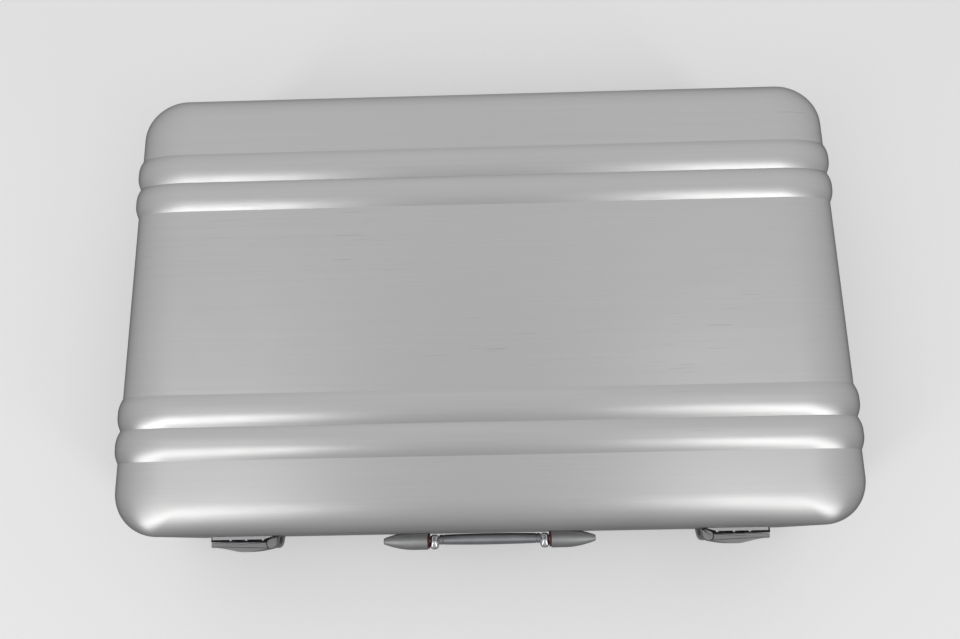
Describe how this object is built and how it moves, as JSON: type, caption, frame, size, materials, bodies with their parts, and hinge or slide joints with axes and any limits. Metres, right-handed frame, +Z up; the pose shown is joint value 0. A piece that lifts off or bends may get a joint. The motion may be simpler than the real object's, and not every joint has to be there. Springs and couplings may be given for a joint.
{
  "type": "aluminum attache case",
  "caption": "Ribbed brushed-aluminium attache case with a hinged lid, folding carry handle, lever latches with number dials, folding lid stays and a lined interior with an organiser.",
  "frame": {"origin": "centre of the closed case's footprint, at the height of the surface that it lies on", "axes": "+X to the right along the length, -Y to the front with the handle and latches, +Z up out of the lid"},
  "size_m": [0.5252, 0.348, 0.1322],
  "materials": {
    "brushed_aluminium": "brushed along the length, clear anodised",
    "frame_aluminium": "satin extrusion",
    "satin_casting": "satin, die cast",
    "polished_chrome": "polished plate",
    "stainless": "satin",
    "oxblood_nylon": "matt dark red",
    "black_rubber": "matt black",
    "grey_lining": "dark grey woven lining",
    "black_leather": "black grained"
  },
  "bodies": {
    "base": {"base_shell": "brushed_aluminium", "base_frame": "frame_aluminium", "frame_gasket": "black_rubber", "base_liner": "grey_lining", "base_floor_pad": "grey_lining", "hinge_base_leaf_left": "stainless", "hinge_base_leaf_right": "stainless", "hinge_pin_left": "stainless", "hinge_pin_right": "stainless", "latch_plate_left": "polished_chrome", "latch_plate_right": "polished_chrome", "latch_nose_left": "satin_casting", "latch_nose_right": "satin_casting", "latch_pin_left": "stainless", "latch_pin_right": "stainless", "dial_axle_left": "stainless", "dial_axle_right": "stainless", "handle_mount_left": "satin_casting", "handle_mount_right": "satin_casting", "handle_bushing_left": "oxblood_nylon", "handle_bushing_right": "oxblood_nylon", "stay_base_bracket_left": "stainless", "stay_base_bracket_right": "stainless", "foot_base_left": "black_rubber", "foot_base_right": "black_rubber"},
    "lid": {"lid_shell": "brushed_aluminium", "lid_frame": "frame_aluminium", "lid_liner": "grey_lining", "organiser_board": "black_leather", "document_pocket": "black_leather", "card_pocket": "black_leather", "folio_pocket": "black_leather", "pen_loops": "black_leather", "hinge_lid_leaf_left": "stainless", "hinge_lid_leaf_right": "stainless", "latch_keeper_left": "polished_chrome", "latch_keeper_right": "polished_chrome", "stay_lid_bracket_left": "stainless", "stay_lid_bracket_right": "stainless", "foot_lid_left": "black_rubber", "foot_lid_right": "black_rubber"},
    "handle": {"handle_grip": "satin_casting", "handle_arm_left": "polished_chrome", "handle_arm_right": "polished_chrome"},
    "latch_lever_left": {"latch_lever_left": "satin_casting"},
    "stay_lower_left": {"stay_lower_link_left": "stainless"},
    "stay_upper_left": {"stay_upper_link_left": "stainless"},
    "dial_left_1": {"dial_left_1": "stainless"},
    "dial_left_2": {"dial_left_2": "stainless"},
    "dial_left_3": {"dial_left_3": "stainless"},
    "latch_lever_right": {"latch_lever_right": "satin_casting"},
    "stay_lower_right": {"stay_lower_link_right": "stainless"},
    "stay_upper_right": {"stay_upper_link_right": "stainless"},
    "dial_right_1": {"dial_right_1": "stainless"},
    "dial_right_2": {"dial_right_2": "stainless"},
    "dial_right_3": {"dial_right_3": "stainless"}
  },
  "joints": [
    {"name": "lid_hinge", "type": "hinge", "parent": "base", "child": "lid", "pos_m": [0, 0.171, 0.0786], "axis": [-1, 0, 0], "range_deg": [0, 95]},
    {"name": "handle_fold", "type": "hinge", "parent": "base", "child": "handle", "pos_m": [0, -0.1674, 0.0626], "axis": [-1, 0, 0], "range_deg": [0, 95]},
    {"name": "latch_left", "type": "hinge", "parent": "base", "child": "latch_lever_left", "pos_m": [-0.1563, -0.1672, 0.0786], "axis": [0, 0, 1], "range_deg": [0, 90]},
    {"name": "stay_lower_left", "type": "hinge", "parent": "base", "child": "stay_lower_left", "pos_m": [-0.2476, 0.096, 0.0676], "axis": [-1, 0, 0], "range_deg": [0, 95]},
    {"name": "stay_upper_left", "type": "hinge", "parent": "stay_lower_left", "child": "stay_upper_left", "pos_m": [-0.2446, 0.021, 0.0786], "axis": [-1, 0, 0], "range_deg": [-95, 0]},
    {"name": "dial_left_1", "type": "hinge", "parent": "base", "child": "dial_left_1", "pos_m": [-0.1726, -0.1672, 0.0476], "axis": [1, 0, 0], "continuous": true},
    {"name": "dial_left_2", "type": "hinge", "parent": "base", "child": "dial_left_2", "pos_m": [-0.179, -0.1672, 0.0476], "axis": [1, 0, 0], "continuous": true},
    {"name": "dial_left_3", "type": "hinge", "parent": "base", "child": "dial_left_3", "pos_m": [-0.1854, -0.1672, 0.0476], "axis": [1, 0, 0], "continuous": true},
    {"name": "latch_right", "type": "hinge", "parent": "base", "child": "latch_lever_right", "pos_m": [0.1563, -0.1672, 0.0786], "axis": [0, 0, -1], "range_deg": [0, 90]},
    {"name": "stay_lower_right", "type": "hinge", "parent": "base", "child": "stay_lower_right", "pos_m": [0.2476, 0.096, 0.0676], "axis": [-1, 0, 0], "range_deg": [0, 95]},
    {"name": "stay_upper_right", "type": "hinge", "parent": "stay_lower_right", "child": "stay_upper_right", "pos_m": [0.2446, 0.021, 0.0786], "axis": [-1, 0, 0], "range_deg": [-95, 0]},
    {"name": "dial_right_1", "type": "hinge", "parent": "base", "child": "dial_right_1", "pos_m": [0.1726, -0.1672, 0.0476], "axis": [1, 0, 0], "continuous": true},
    {"name": "dial_right_2", "type": "hinge", "parent": "base", "child": "dial_right_2", "pos_m": [0.179, -0.1672, 0.0476], "axis": [1, 0, 0], "continuous": true},
    {"name": "dial_right_3", "type": "hinge", "parent": "base", "child": "dial_right_3", "pos_m": [0.1854, -0.1672, 0.0476], "axis": [1, 0, 0], "continuous": true}
  ],
  "couplings": [
    {"joint": "stay_lower_left", "follows": "lid_hinge", "ratio": 1},
    {"joint": "stay_upper_left", "follows": "lid_hinge", "ratio": -1},
    {"joint": "stay_lower_right", "follows": "lid_hinge", "ratio": 1},
    {"joint": "stay_upper_right", "follows": "lid_hinge", "ratio": -1}
  ]
}
